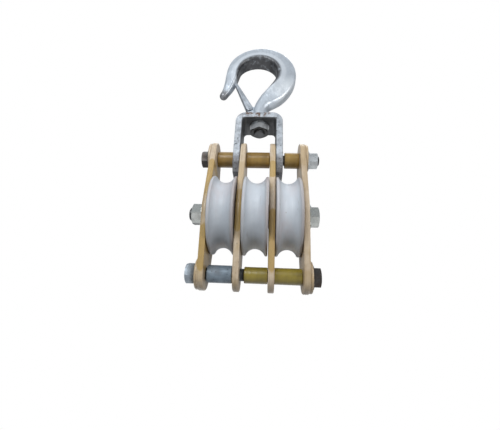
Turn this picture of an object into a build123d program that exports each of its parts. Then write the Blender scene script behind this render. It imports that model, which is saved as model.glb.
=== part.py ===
"""Three-sheave stringing block: nylon sheaves between laminate plates, hung from a swivel hook.

Millimetres. +Z is up, +X runs along the bolts and +Y is the depth of the block. The origin is the
point of the hook's saddle that bears the load, on the swivel axis.
"""

import os
from math import atan2, cos, degrees, hypot, radians, sin, sqrt

from build123d import *

# ---------------------------------------------------------------- heights, from the saddle down
saddle_to_crown = 103.0  # saddle to the top of the yoke's crown
yoke_depth_inside = 50.0  # underside of the crown to the top bolt
top_bolt_to_axle = 71.0
axle_to_bottom_bolt = 63.0

# ---------------------------------------------------------------- sheaves and their bays
sheave_radius = 42.5
sheave_width = 26.0
groove_radius = 7.5
groove_depth = 7.2
groove_lip_fillet = 1.8
hub_radius = 17.0
rim_inner_radius = 28.5
web_thickness = 12.0
bush_radius = 10.0
axle_clearance = 0.08  # radial, bush on axle
sheave_side_gap = 0.8  # each side of a sheave, to the plate
thrust_washer_thickness = 0.5
thrust_washer_radius = 13.0

# ---------------------------------------------------------------- laminate plates
plate_thickness = 6.0
plate_top_radius = 19.5
plate_middle_radius = 30.0
plate_bottom_radius = 18.0
plate_edge_chamfer = 0.6
hole_clearance = 0.15  # radial, plates and washers on bolts
end_disc_thickness = 3.2
end_disc_inset = 0.8  # disc radius below the plate end's radius

# ---------------------------------------------------------------- fasteners
bolt_radius = 6.0  # M12 top and bottom bolts
bolt_head_across_flats = 18.0
bolt_head_height = 7.5
bolt_nut_height = 10.0
bolt_washer_radius = 12.0
bolt_washer_thickness = 2.0
bolt_end_stand_out = 2.0
axle_radius = 7.0  # M14 axle bolt
axle_head_across_flats = 21.0
axle_head_height = 8.8
axle_nut_height = 11.0
axle_washer_radius = 14.0
axle_washer_thickness = 4.0
axle_end_stand_out = 3.2
thread_end_chamfer = 1.2

# ---------------------------------------------------------------- spacers and sleeves
spacer_radius = 9.3
spacer_bore_clearance = 0.1  # radial, loose tubes on the bolts
spacer_end_gap = 0.3
right_spacer_gap = 2.2  # more at the right spacer's inner end, where the bolt shows
sleeve_radius = 8.0
steel_sleeve_radius = 8.6
steel_sleeve_end_gap = 1.6
middle_sleeve_end_gap = 2.6

# ---------------------------------------------------------------- yoke
strap_thickness = 8.0
strap_width = 36.0
yoke_side_gap = 0.4  # leg to divider plate
yoke_outer_corner = 13.0
yoke_inner_corner = 5.0
leg_below_bolt = 23.0
leg_shoulder_below_bolt = 13.0
leg_tip_width = 20.0
yoke_edge_fillet = 1.2
pivot_clearance = 0.1  # radial, leg on top bolt

# ---------------------------------------------------------------- swivel hook
shank_radius = 9.0
stem_radius = 7.0
stem_clearance = 0.1  # radial, stem in the crown
stem_stand_out = 2.5
shoulder_gap = 0.3
swivel_washer_radius = 12.0
swivel_washer_thickness = 1.5
swivel_gap = 0.3
hook_nut_height = 8.5
bowl_radius = 26.5
bowl_offset = 5.0  # bowl centre, towards the tip from the swivel axis
back_width = 25.0
saddle_width = 24.5
throat_width = 17.0
inner_face_depth = 25.0
outer_face_depth = 14.0
neck_length = 14.5  # straight round part above the crown
# Sections of the tip: distance outside the bowl's circle, drop below the bowl's centre, heading
# and width.
tip_stations = ((11.0, 15.0, 262, 14.6), (14.2, 25.5, 250, 11.6))
tip_end = (18.2, 34.5, 246)
tip_radius = 5.2

# ---------------------------------------------------------------- latch
latch_pivot_out = 13.6  # pivot to the swivel axis
latch_pivot_above_crown = 18.5
latch_pin_radius = 2.0
latch_pin_clearance = 0.1
latch_sheet = 1.6
latch_inside_width = 14.5
latch_tip_width = 9.0
latch_ear_radius = 5.6
latch_tip_depth = 3.6
latch_seat_gap = 0.4
lug_thickness = 7.0
pin_head_radius = 3.4
pin_head_height = 1.2
spring_wire_radius = 0.5
spring_leg_length = 14.0
spring_turns = 2
spring_slack = 0.25  # radial, coil on the pin

# ---------------------------------------------------------------- worked out from the above
sheave_count = 3
bay_width = sheave_width + 2 * sheave_side_gap
pitch = bay_width + plate_thickness
bay_centres = [pitch * (i - (sheave_count - 1) / 2) for i in range(sheave_count)]
plate_centres = [pitch * (i - sheave_count / 2) for i in range(sheave_count + 1)]
crown_top = -saddle_to_crown
crown_underside = crown_top - strap_thickness
top_bolt_z = crown_underside - yoke_depth_inside
axle_z = top_bolt_z - top_bolt_to_axle
bottom_bolt_z = axle_z - axle_to_bottom_bolt
block_half_width = plate_centres[-1] + plate_thickness / 2
disc_face = block_half_width + end_disc_thickness
bore_radius = bolt_radius + hole_clearance
leg_inner_x = plate_centres[2] + plate_thickness / 2 + yoke_side_gap
leg_outer_x = leg_inner_x + strap_thickness
bowl_centre = (-bowl_offset, -sqrt(bowl_radius**2 - bowl_offset**2))
latch_pivot = (-latch_pivot_out, crown_top + latch_pivot_above_crown)
lug_radius = latch_ear_radius - latch_sheet - latch_seat_gap

os.makedirs("parts", exist_ok=True)


def across(x_low, x_high, z, radius, bore=0.0):
    """A tube or disc lying along X, from x_low to x_high, with its axis at height z."""
    face = Circle(radius) - Circle(bore) if bore else Circle(radius)
    return extrude(Plane.YZ.offset(x_low) * Pos(0, z) * face, x_high - x_low)


def hexagon(across_flats, height, chamfered="both"):
    """A hexagon prism on the XY plane with its corners turned off, as on nuts and bolt heads."""
    prism = extrude(RegularPolygon(across_flats / 2, 6, major_radius=False), height)
    corner = across_flats / sqrt(3)
    cap = Pos(0, 0, height / 2) * Cylinder(corner, height)
    rims = cap.edges().filter_by(GeomType.CIRCLE).sort_by(Axis.Z)
    turned = [rims[-1]] if chamfered == "top" else [rims[0], rims[-1]]
    drop = corner - across_flats / 2 * 0.96
    return prism & chamfer(turned, length=drop * 0.5, length2=drop)


def laid(part, x, z, facing, turn=0.0):
    """Lays a part made along +Z so that it points along +X or -X from (x, z)."""
    return Pos(x, 0, z) * Rot(0, 90 * facing, 0) * Rot(0, 0, turn) * part


def hex_bolt(radius, across_flats, head_height, length):
    """A bolt along +Z: its head is below the XY plane and its plain shank above it."""
    head = Rot(180, 0, 0) * hexagon(across_flats, head_height, "top")
    shank = Pos(0, 0, length / 2) * Cylinder(radius, length)
    end = shank.edges().filter_by(GeomType.CIRCLE).sort_by(Axis.Z)[-1]
    return head + chamfer(end, thread_end_chamfer)


def hex_nut(radius, across_flats, height):
    """A nut standing on the XY plane, bored to the outside of its thread."""
    return hexagon(across_flats, height) - Cylinder(radius, height * 4)


# ---------------------------------------------------------------- sheaves
def sheave(x):
    """A nylon sheave: round rope groove, flat rims, thinner web and a hub round the bush."""
    half = sheave_width / 2
    groove_centre = sheave_radius - groove_depth + groove_radius
    lip = sqrt(groove_radius**2 - (groove_centre - sheave_radius) ** 2)
    root = (0, sheave_radius - groove_depth)
    outline = Polyline(
        (lip, sheave_radius),
        (half, sheave_radius),
        (half, rim_inner_radius),
        (web_thickness / 2, rim_inner_radius - 1),
        (web_thickness / 2, hub_radius + 1),
        (half, hub_radius),
        (half, bush_radius),
        (-half, bush_radius),
        (-half, hub_radius),
        (-web_thickness / 2, hub_radius + 1),
        (-web_thickness / 2, rim_inner_radius - 1),
        (-half, rim_inner_radius),
        (-half, sheave_radius),
        (-lip, sheave_radius),
    ) + ThreePointArc((-lip, sheave_radius), root, (lip, sheave_radius))
    section = make_face(outline)
    on_rim = section.vertices().filter_by(lambda v: abs(v.Y - sheave_radius) < 0.01)
    lips = on_rim.filter_by(lambda v: abs(v.X) < half - 0.01)
    corners = on_rim.filter_by(lambda v: abs(v.X) > half - 0.01)
    section = fillet(lips, groove_lip_fillet)
    corners = section.vertices().filter_by(
        lambda v: abs(v.X) > half - 0.01 and abs(v.Y - sheave_radius) < 0.01
    )
    section = fillet(corners, 1.0)
    # The sketch's first axis is X and its second is the radius, so it turns about X.
    turned = revolve(Plane.XZ * section, Axis.X, 360)
    return Pos(x, 0, axle_z) * turned


def bush(x):
    """The bronze bush that is pressed into the sheave's hub and runs on the axle."""
    half = sheave_width / 2
    return across(x - half, x + half, axle_z, bush_radius, axle_radius + axle_clearance)


def thrust_washers(x):
    """The thin washer at each side of a sheave."""
    play = (sheave_side_gap - thrust_washer_thickness) / 2
    inner = sheave_width / 2 + play
    outer = inner + thrust_washer_thickness
    bore = axle_radius + hole_clearance
    return Compound(
        [
            across(x + low, x + high, axle_z, thrust_washer_radius, bore)
            for low, high in ((-outer, -inner), (inner, outer))
        ]
    )


# ---------------------------------------------------------------- plates
def plate(x):
    """A laminate plate: the hull of three circles, drilled for the two bolts and the axle."""
    circles = (
        Pos(0, top_bolt_z) * Circle(plate_top_radius)
        + Pos(0, axle_z) * Circle(plate_middle_radius)
        + Pos(0, bottom_bolt_z) * Circle(plate_bottom_radius)
    )
    outline = make_hull(circles.edges())
    for z, radius in (
        (top_bolt_z, bore_radius),
        (axle_z, axle_radius + hole_clearance),
        (bottom_bolt_z, bore_radius),
    ):
        outline -= Pos(0, z) * Circle(radius)
    slab = extrude(Plane.YZ.offset(x - plate_thickness / 2) * outline, plate_thickness)
    rims = slab.faces().filter_by(Axis.X).edges()
    outer_rims = rims.filter_by(lambda e: e.length > 2.5 * bolt_radius * 3.2)
    return chamfer(outer_rims, plate_edge_chamfer)


def end_disc(side, z, plate_radius):
    """A round laminate disc between an outer plate's end and the bolt's head or nut."""
    low, high = sorted((side * block_half_width, side * disc_face))
    disc = across(low, high, z, plate_radius - end_disc_inset, bore_radius)
    rims = disc.edges().filter_by(GeomType.CIRCLE).sort_by(Edge.length)[-2:]
    return chamfer(rims, plate_edge_chamfer)


# ---------------------------------------------------------------- bolts, nuts and washers
def cross_bolt(z, head_side, head_washer, nut_washer, turn):
    """A through bolt between the end discs, its head on head_side."""
    start = disc_face + head_washer
    grip = start + disc_face + nut_washer
    bolt = hex_bolt(
        bolt_radius, bolt_head_across_flats, bolt_head_height, grip + bolt_nut_height + bolt_end_stand_out
    )
    return laid(bolt, head_side * start, z, -head_side, turn)


def cross_nut(z, side, washer, turn):
    """The nut of a through bolt."""
    nut = hex_nut(bolt_radius, bolt_head_across_flats, bolt_nut_height)
    return laid(nut, side * (disc_face + washer), z, side, turn)


def washer(side, face, z, radius, thickness, bore):
    """A flat washer on the outside of the block, standing on face."""
    low, high = sorted((side * face, side * (face + thickness)))
    return across(low, high, z, radius, bore)


def axle():
    """The axle bolt that carries the sheaves, its head on the right."""
    start = block_half_width + axle_washer_thickness
    length = 2 * start + axle_nut_height + axle_end_stand_out
    bolt = hex_bolt(axle_radius, axle_head_across_flats, axle_head_height, length)
    return laid(bolt, start, axle_z, -1, 12)


def axle_nut():
    """The axle's nut, on the left."""
    nut = hex_nut(axle_radius, axle_head_across_flats, axle_nut_height)
    return laid(nut, -block_half_width - axle_washer_thickness, axle_z, -1, 20)


# ---------------------------------------------------------------- spacers and sleeves
def tube(x_low, x_high, z, radius):
    """A loose distance tube on a bolt, with its ends broken."""
    body = across(x_low, x_high, z, radius, bolt_radius + spacer_bore_clearance)
    rims = body.edges().filter_by(GeomType.CIRCLE).sort_by(Edge.length)[-2:]
    return chamfer(rims, 0.5)


def top_spacer(bay):
    """A tube of the top bolt. In the end bays it shares the bay with a leg of the yoke."""
    low = bay_centres[bay] - bay_width / 2 + spacer_end_gap
    high = bay_centres[bay] + bay_width / 2 - spacer_end_gap
    if bay == 0:
        high = -leg_outer_x - spacer_end_gap
    if bay == sheave_count - 1:
        low = leg_outer_x + spacer_end_gap + right_spacer_gap
    return tube(low, high, top_bolt_z, spacer_radius)


def bottom_sleeve(bay):
    """A tube of the bottom bolt: steel pipe on the left, laminate tube elsewhere."""
    radius = (steel_sleeve_radius, sleeve_radius, sleeve_radius)[bay]
    left_gap = (steel_sleeve_end_gap, middle_sleeve_end_gap * 1.7, spacer_end_gap)[bay]
    right_gap = (steel_sleeve_end_gap, spacer_end_gap, spacer_end_gap)[bay]
    low = bay_centres[bay] - bay_width / 2 + left_gap
    high = bay_centres[bay] + bay_width / 2 - right_gap
    return tube(low, high, bottom_bolt_z, radius)


# ---------------------------------------------------------------- yoke
def yoke():
    """A strap bent to a U: crown bored for the hook's stem, legs bored for the top bolt."""
    height = yoke_depth_inside + leg_below_bolt
    foot = top_bolt_z - leg_below_bolt
    outer = Pos(0, (crown_top + foot) / 2) * Rectangle(2 * leg_outer_x, height + strap_thickness)
    outer = fillet(outer.vertices().group_by(Axis.Y)[-1], yoke_outer_corner)
    inner = Pos(0, (crown_underside + foot) / 2) * Rectangle(2 * leg_inner_x, height)
    inner = fillet(inner.vertices().group_by(Axis.Y)[-1], yoke_inner_corner)
    strap = extrude(Plane.XZ * (outer - inner), strap_width / 2, both=True)
    half = strap_width / 2
    side = Polyline(
        (-half, crown_top + 1),
        (half, crown_top + 1),
        (half, top_bolt_z - leg_shoulder_below_bolt),
        (leg_tip_width / 2, foot),
        (-leg_tip_width / 2, foot),
        (-half, top_bolt_z - leg_shoulder_below_bolt),
        (-half, crown_top + 1),
    )
    side = make_face(side)
    feet = side.vertices().filter_by(lambda v: v.Y < top_bolt_z)
    side = fillet(feet, 4.0)
    strap &= extrude(Plane.YZ * side, leg_outer_x + 1, both=True)
    front_and_back = strap.faces().filter_by(Axis.Y).edges()
    strap = fillet(front_and_back, yoke_edge_fillet)
    strap -= across(-2 * leg_outer_x, 2 * leg_outer_x, top_bolt_z, bolt_radius + pivot_clearance)
    strap -= Pos(0, 0, crown_top) * Cylinder(stem_radius + stem_clearance, 4 * strap_thickness)
    return strap


# ---------------------------------------------------------------- hook
def hook_section(x, z, heading, width, inner_depth, outer_depth, rounding):
    """A rounded trapezoid across the hook at (x, z), whose deep side faces the bowl.

    heading is the way that the hook runs there, in degrees from +X towards +Z.
    """
    half = width / 2
    shape = make_face(
        Polyline(
            (half, -outer_depth / 2),
            (half, outer_depth / 2),
            (-half, inner_depth / 2),
            (-half, -inner_depth / 2),
            (half, -outer_depth / 2),
        )
    )
    corners = shape.vertices()
    shape = fillet(corners, rounding * min(width, inner_depth, outer_depth) / 2)
    run = Vector(cos(radians(heading)), 0, sin(radians(heading)))
    outward = Vector(sin(radians(heading)), 0, -cos(radians(heading)))
    return Plane(origin=(x, 0, z), x_dir=outward, z_dir=run) * shape


def on_bowl(angle, width, inner_depth, outer_depth):
    """A section of the bowl, whose inner side lies on the bowl's circle."""
    reach = bowl_radius + width / 2
    x = bowl_centre[0] + reach * cos(radians(angle))
    z = bowl_centre[1] + reach * sin(radians(angle))
    return hook_section(x, z, angle + 90, width, inner_depth, outer_depth, 0.62)


def hook():
    """A forged shank hook: round shank, bowl with a rounded trapezoid section, thin open tip."""
    deep, thin, shank = inner_face_depth, outer_face_depth, 2 * shank_radius
    round_share = 0.94
    neck_z = crown_top + neck_length
    sections = [
        hook_section(0, crown_top + shoulder_gap, 90, shank, shank, shank, round_share),
        hook_section(0, neck_z, 90, shank, shank, shank, round_share),
        hook_section(5.2, neck_z + 12.5, 60, shank * 1.14, shank, shank * 0.95, 0.85),
        hook_section(18.0, neck_z + 26.5, 44, shank * 1.45, deep * 0.88, thin * 1.12, 0.7),
        on_bowl(-22, back_width * 1.04, deep, thin),
        on_bowl(12, back_width * 1.02, deep, thin),
        on_bowl(48, back_width * 1.02, deep, thin),
        on_bowl(84, saddle_width, deep, thin),
        on_bowl(118, saddle_width * 0.88, deep * 0.96, thin * 0.96),
        on_bowl(150, saddle_width * 0.76, deep * 0.86, thin * 0.9),
        on_bowl(180, throat_width, deep * 0.72, thin * 0.86),
    ]
    for out, drop, heading, width in tip_stations:
        x = bowl_centre[0] - bowl_radius - out
        z = bowl_centre[1] - drop
        share = width / throat_width
        inner = max(2 * tip_radius, deep * 0.72 * share)
        outer = max(2 * tip_radius, thin * 0.94 * share)
        sections.append(hook_section(x, z, heading, width, inner, outer, 0.82))
    out, drop, heading = tip_end
    x, z = bowl_centre[0] - bowl_radius - out, bowl_centre[1] - drop
    ball = 2 * tip_radius
    sections.append(hook_section(x, z, heading, ball, ball, ball, round_share))
    return loft(sections) + Pos(x, 0, z) * Sphere(tip_radius * 1.005)


def hook_with_stem():
    """The hook with its stem through the crown and the lug that carries the latch."""
    stem_end = crown_underside - swivel_gap - swivel_washer_thickness - hook_nut_height - stem_stand_out
    stem_top = crown_top + shoulder_gap + 4
    stem = Pos(0, 0, (stem_end + stem_top) / 2) * Cylinder(stem_radius, stem_top - stem_end)
    end = stem.edges().filter_by(GeomType.CIRCLE).sort_by(Axis.Z)[0]
    stem = chamfer(end, thread_end_chamfer)
    low = crown_top + shoulder_gap + lug_radius
    outline = make_hull(
        (
            Pos(*latch_pivot) * Circle(lug_radius)
            + Pos(latch_pivot[0] / 2, low) * Circle(lug_radius / 2)
            + Pos(-shank_radius / 3, low) * Circle(lug_radius / 2)
            + Pos(-shank_radius / 3, latch_pivot[1]) * Circle(lug_radius / 2)
        ).edges()
    )
    lug = extrude(Plane.XZ * outline, lug_thickness / 2, both=True)
    body = hook() + stem + lug
    pin_hole = Rot(90, 0, 0) * Cylinder(latch_pin_radius, 60)
    return body - Pos(latch_pivot[0], 0, latch_pivot[1]) * pin_hole


def swivel_washer():
    """The thrust washer between the crown and the hook's nut."""
    top = crown_underside - swivel_gap
    ring = Cylinder(swivel_washer_radius, swivel_washer_thickness) - Cylinder(
        stem_radius + stem_clearance, 3 * swivel_washer_thickness
    )
    return Pos(0, 0, top - swivel_washer_thickness / 2) * ring


def hook_nut():
    """The nut on the hook's stem, under the crown."""
    nut = hex_nut(stem_radius, axle_head_across_flats, hook_nut_height)
    top = crown_underside - swivel_gap - swivel_washer_thickness
    return Pos(0, 0, top - hook_nut_height) * Rot(0, 0, 30) * nut


# ---------------------------------------------------------------- latch
def seat_of_latch():
    """The latch's lean from upright, in degrees, and its length from the pin to its end.

    Its rounded end lies latch_seat_gap from the bowl's side of the tip's first section.
    """
    out, drop, heading, width = tip_stations[0]
    off_centre = width / 2 + latch_seat_gap + latch_tip_depth / 2
    x = bowl_centre[0] - bowl_radius - out - sin(radians(heading)) * off_centre
    z = bowl_centre[1] - drop + cos(radians(heading)) * off_centre
    aside, up = latch_pivot[0] - x, z - latch_pivot[1]
    offset = latch_ear_radius - latch_tip_depth / 2
    reach = sqrt(aside**2 + up**2 - offset**2)
    lean = degrees(atan2(aside, up) - atan2(offset, reach))
    return lean, reach + latch_tip_depth / 2


def at_latch(part):
    """Carries a part from the latch's own frame, +Z along it and pivot at zero, to its place."""
    lean, _ = seat_of_latch()
    return Pos(latch_pivot[0], 0, latch_pivot[1]) * Rot(0, -lean, 0) * part


def latch_block(inset, length):
    """The latch's outer form, or with an inset the hollow of its channel, open on the right."""
    root = latch_inside_width / 2 + latch_sheet - inset
    tip = latch_tip_width / 2 - inset
    radius = latch_ear_radius
    near_tip = Pos(-radius + latch_tip_depth / 2, length - latch_tip_depth / 2)
    corner = Pos(-radius + 1, 0) * Circle(1) + Pos(-radius + 1, -radius * 0.6) * Circle(1)
    side = make_hull((Circle(radius) + near_tip * Circle(latch_tip_depth / 2) + corner).edges())
    if inset:
        side = Pos(-radius + inset + length, 0) * Rectangle(2 * length, 4 * length)
    front = Polyline(
        (-root, -2 * radius),
        (root, -2 * radius),
        (root, radius),
        (tip, length),
        (tip, 2 * length),
        (-tip, 2 * length),
        (-tip, length),
        (-root, radius),
        (-root, -2 * radius),
    )
    block = extrude(Plane.XZ * side, 2 * root, both=True)
    return block & extrude(Plane.YZ * make_face(front), 4 * length, both=True)


def latch():
    """A latch of bent sheet: a tapered channel whose two ears sit on the pin."""
    _, length = seat_of_latch()
    channel = latch_block(0, length) - latch_block(latch_sheet, length)
    return at_latch(channel - Rot(90, 0, 0) * Cylinder(latch_pin_radius + latch_pin_clearance, 60))


def latch_pin():
    """The riveted pin through the ears and the lug."""
    half = latch_inside_width / 2 + latch_sheet + 0.3
    pin = Cylinder(latch_pin_radius, 2 * half)
    for side in (1, -1):
        head = Cylinder(pin_head_radius, pin_head_height)
        rim = head.edges().filter_by(GeomType.CIRCLE).sort_by(Axis.Z)[-1]
        head = chamfer(rim, pin_head_height / 2)
        turn = Rot(0, 0, 0) if side == 1 else Rot(180, 0, 0)
        pin += Pos(0, 0, side * (half + pin_head_height / 2)) * turn * head
    return Pos(latch_pivot[0], 0, latch_pivot[1]) * Rot(90, 0, 0) * pin


def latch_spring():
    """The torsion spring on the pin: a coil at each side of the lug, with a leg along the web."""
    coil_radius = latch_pin_radius + latch_pin_clearance + spring_slack + spring_wire_radius
    room = (latch_inside_width - lug_thickness) / 2
    turn_pitch = 2 * spring_wire_radius + 0.1
    length = spring_turns * turn_pitch
    middle = (lug_thickness + room) / 2
    path = Helix(turn_pitch, length, coil_radius, center=(0, 0, -length / 2), lefthand=True)
    wire = Plane(origin=path @ 0, z_dir=path % 0) * Circle(spring_wire_radius)
    coil = Pos(0, middle, 0) * Rot(-90, 0, 0) * Rot(0, 0, 180) * sweep(wire, path)
    leg = Pos(-coil_radius, middle - length / 2, spring_leg_length / 2) * Cylinder(
        spring_wire_radius, spring_leg_length
    )
    coil += leg
    return at_latch(Compound([coil, mirror(coil, Plane.XZ)]))


# ---------------------------------------------------------------- the whole block
def build():
    """Every node by name."""
    sides = ("left", "middle", "right")
    nodes = {
        "side_plate_left": plate(plate_centres[0]),
        "divider_plate_left": plate(plate_centres[1]),
        "divider_plate_right": plate(plate_centres[2]),
        "side_plate_right": plate(plate_centres[3]),
        "yoke": yoke(),
        "hook": hook_with_stem(),
        "swivel_washer": swivel_washer(),
        "hook_nut": hook_nut(),
        "latch": latch(),
        "latch_pin": latch_pin(),
        "latch_spring": latch_spring(),
        "axle_bolt": axle(),
        "axle_nut": axle_nut(),
        "top_bolt": cross_bolt(top_bolt_z, -1, bolt_washer_thickness, bolt_washer_thickness, 10),
        "top_nut": cross_nut(top_bolt_z, 1, bolt_washer_thickness, 5),
        "bottom_bolt": cross_bolt(bottom_bolt_z, 1, 0, bolt_washer_thickness, 8),
        "bottom_nut": cross_nut(bottom_bolt_z, -1, bolt_washer_thickness, 20),
    }
    for bay, name in enumerate(sides):
        nodes[f"sheave_{name}"] = sheave(bay_centres[bay])
        nodes[f"bush_{name}"] = bush(bay_centres[bay])
        nodes[f"thrust_washers_{name}"] = thrust_washers(bay_centres[bay])
        nodes[f"top_spacer_{name}"] = top_spacer(bay)
        nodes[f"bottom_sleeve_{name}"] = bottom_sleeve(bay)
    for side, name in ((-1, "left"), (1, "right")):
        nodes[f"top_end_disc_{name}"] = end_disc(side, top_bolt_z, plate_top_radius)
        nodes[f"bottom_end_disc_{name}"] = end_disc(side, bottom_bolt_z, plate_bottom_radius)
        nodes[f"axle_washer_{name}"] = washer(
            side, block_half_width, axle_z, axle_washer_radius, axle_washer_thickness, axle_radius + hole_clearance
        )
        nodes[f"top_washer_{name}"] = washer(
            side, disc_face, top_bolt_z, bolt_washer_radius, bolt_washer_thickness, bore_radius
        )
    nodes["bottom_washer"] = washer(
        -1, disc_face, bottom_bolt_z, bolt_washer_radius, bolt_washer_thickness, bore_radius
    )
    return nodes


for name, shape in build().items():
    export_step(shape, f"parts/{name}.step")
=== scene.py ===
# %% [markdown]
# # A stringing block
#
# This block hangs from a beam or a cross-arm and lets ropes run over three nylon sheaves. The
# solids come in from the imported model. This script gives them their finishes, puts finer pieces in
# the place of a few of them, cuts the threads on the bolt ends, and lights and frames the block.

# %% Load the frame
import math

import bmesh
import bpy
from mathutils import Matrix, Vector


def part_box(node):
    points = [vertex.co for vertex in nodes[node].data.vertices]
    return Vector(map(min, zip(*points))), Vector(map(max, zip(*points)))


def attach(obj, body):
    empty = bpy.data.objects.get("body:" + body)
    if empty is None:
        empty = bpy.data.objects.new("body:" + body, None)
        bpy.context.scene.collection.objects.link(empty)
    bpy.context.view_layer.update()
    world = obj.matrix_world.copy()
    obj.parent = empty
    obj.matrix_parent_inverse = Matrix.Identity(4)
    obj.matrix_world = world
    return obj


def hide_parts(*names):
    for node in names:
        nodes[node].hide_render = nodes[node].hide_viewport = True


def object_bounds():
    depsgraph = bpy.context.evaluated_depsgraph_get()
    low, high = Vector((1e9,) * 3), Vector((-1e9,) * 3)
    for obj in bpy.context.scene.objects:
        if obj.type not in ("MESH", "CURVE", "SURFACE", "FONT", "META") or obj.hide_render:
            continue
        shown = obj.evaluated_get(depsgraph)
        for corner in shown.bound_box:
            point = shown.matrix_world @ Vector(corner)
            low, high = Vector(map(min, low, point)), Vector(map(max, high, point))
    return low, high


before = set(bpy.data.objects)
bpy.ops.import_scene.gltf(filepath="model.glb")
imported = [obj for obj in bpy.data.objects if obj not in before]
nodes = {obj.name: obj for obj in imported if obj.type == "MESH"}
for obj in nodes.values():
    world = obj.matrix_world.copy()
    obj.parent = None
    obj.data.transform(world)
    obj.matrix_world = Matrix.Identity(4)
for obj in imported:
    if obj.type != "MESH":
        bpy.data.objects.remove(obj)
cad_low, cad_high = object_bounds()
print("solids:", len(nodes), "height:", round(cad_high.z - cad_low.z, 4))

# %% [markdown]
# ## Where things are
#
# Every place is read from the solids, so the finishes stay on their pieces when a size changes.
# A box gives two corners, and the middle of the box is the axis of a turned piece.


# %% Read the main places
def middle(node):
    """The middle of a node's box."""
    low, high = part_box(node)
    return (low + high) / 2


AXLE = middle("sheave_middle")
TOP_BOLT = middle("top_spacer_middle")
BOTTOM_BOLT = middle("bottom_sleeve_middle")
CROWN_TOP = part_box("yoke")[1].z
CROWN_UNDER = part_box("swivel_washer")[1].z + 0.0003
WINDOW_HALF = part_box("divider_plate_right")[1].x + 0.0008
LATCH_PIVOT = middle("latch_pin")
HOOK_LOW, HOOK_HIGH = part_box("hook")
DISC_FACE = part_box("bottom_end_disc_right")[1].x
print("axle", AXLE, "crown", round(CROWN_TOP, 4))

# %% [markdown]
# ## The camera
#
# The block is looked at from below and close by, so the undersides of the hook and the crown show
# and the upright plates lean together towards the top. A short lens at that distance gives this
# look. The camera's three axes are built from a turn, a tilt and a small roll.

# %% Set up the camera
CAMERA_PLACE = Vector((0.0108, -0.2875, AXLE.z - 0.1146))
CAMERA_TURN = math.radians(-3.62)
CAMERA_TILT = math.radians(24.88)
CAMERA_ROLL = math.radians(-2.83)
CAMERA_LENS = 20.6


def camera_axes(turn, tilt, roll):
    """The camera's matrix from its turn about Z, its tilt up and its roll."""
    ahead = Vector((math.sin(turn) * math.cos(tilt), math.cos(turn) * math.cos(tilt), math.sin(tilt)))
    level = Vector((math.cos(turn), -math.sin(turn), 0))
    above = level.cross(ahead)
    right = level * math.cos(roll) - above * math.sin(roll)
    up = level * math.sin(roll) + above * math.cos(roll)
    return Matrix((right, up, -ahead)).transposed().to_4x4()


camera_data = bpy.data.cameras.new("camera")
camera_data.lens = CAMERA_LENS
camera_data.sensor_width = 36
camera_data.shift_y = -0.03
camera_data.clip_start = 0.01
camera = bpy.data.objects.new("camera", camera_data)
bpy.context.scene.collection.objects.link(camera)
camera.matrix_world = Matrix.Translation(CAMERA_PLACE) @ camera_axes(CAMERA_TURN, CAMERA_TILT, CAMERA_ROLL)
bpy.context.scene.camera = camera
bpy.context.scene.view_settings.view_transform = "Standard"
print("camera at", CAMERA_PLACE)

# %% [markdown]
# ## Small helpers for shader trees
#
# A material is a handful of nodes. These helpers keep each one to a few lines: one adds a node and
# sets its inputs, and one starts a node group with named inputs and outputs.


# %% Node helpers
def add(tree, kind, place=(0, 0), **values):
    """Adds a node to a tree. Values go to properties, or to inputs of that name."""
    node = tree.nodes.new(kind)
    node.location = place
    for name, value in values.items():
        label = name.replace("_", " ")
        if label in node.inputs.keys():
            node.inputs[label].default_value = value
        else:
            setattr(node, name, value)
    return node


def new_group(name, inputs, outputs):
    """Starts a shader node group. Inputs are name: default, and outputs are name: socket type."""
    tree = bpy.data.node_groups.new(name, "ShaderNodeTree")
    for label, value in inputs.items():
        kind = "NodeSocketVector" if isinstance(value, tuple) else "NodeSocketFloat"
        tree.interface.new_socket(label, in_out="INPUT", socket_type=kind).default_value = value
    for label, kind in outputs.items():
        tree.interface.new_socket(label, in_out="OUTPUT", socket_type=kind)
    return tree, add(tree, "NodeGroupInput", (-900, 0)), add(tree, "NodeGroupOutput", (700, 0))


def use(material_tree, group, **values):
    """Places a node group in a material's tree with its own values."""
    node = material_tree.nodes.new("ShaderNodeGroup")
    node.node_tree = group
    for name, value in values.items():
        node.inputs[name.replace("_", " ")].default_value = value
    return node


# %% [markdown]
# ## Effects that several finishes share
#
# Real finishes are never even. Mottle is a soft cloud that fades between two levels, and it can be
# stretched along an axis. Pits are small round spots, as zinc leaves on rolled steel. Near is one
# inside a ball round a point and fades to nothing at its edge, which places dirt or rust. Squashing
# two of its axes to nothing turns the ball into a layer between two planes.


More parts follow.
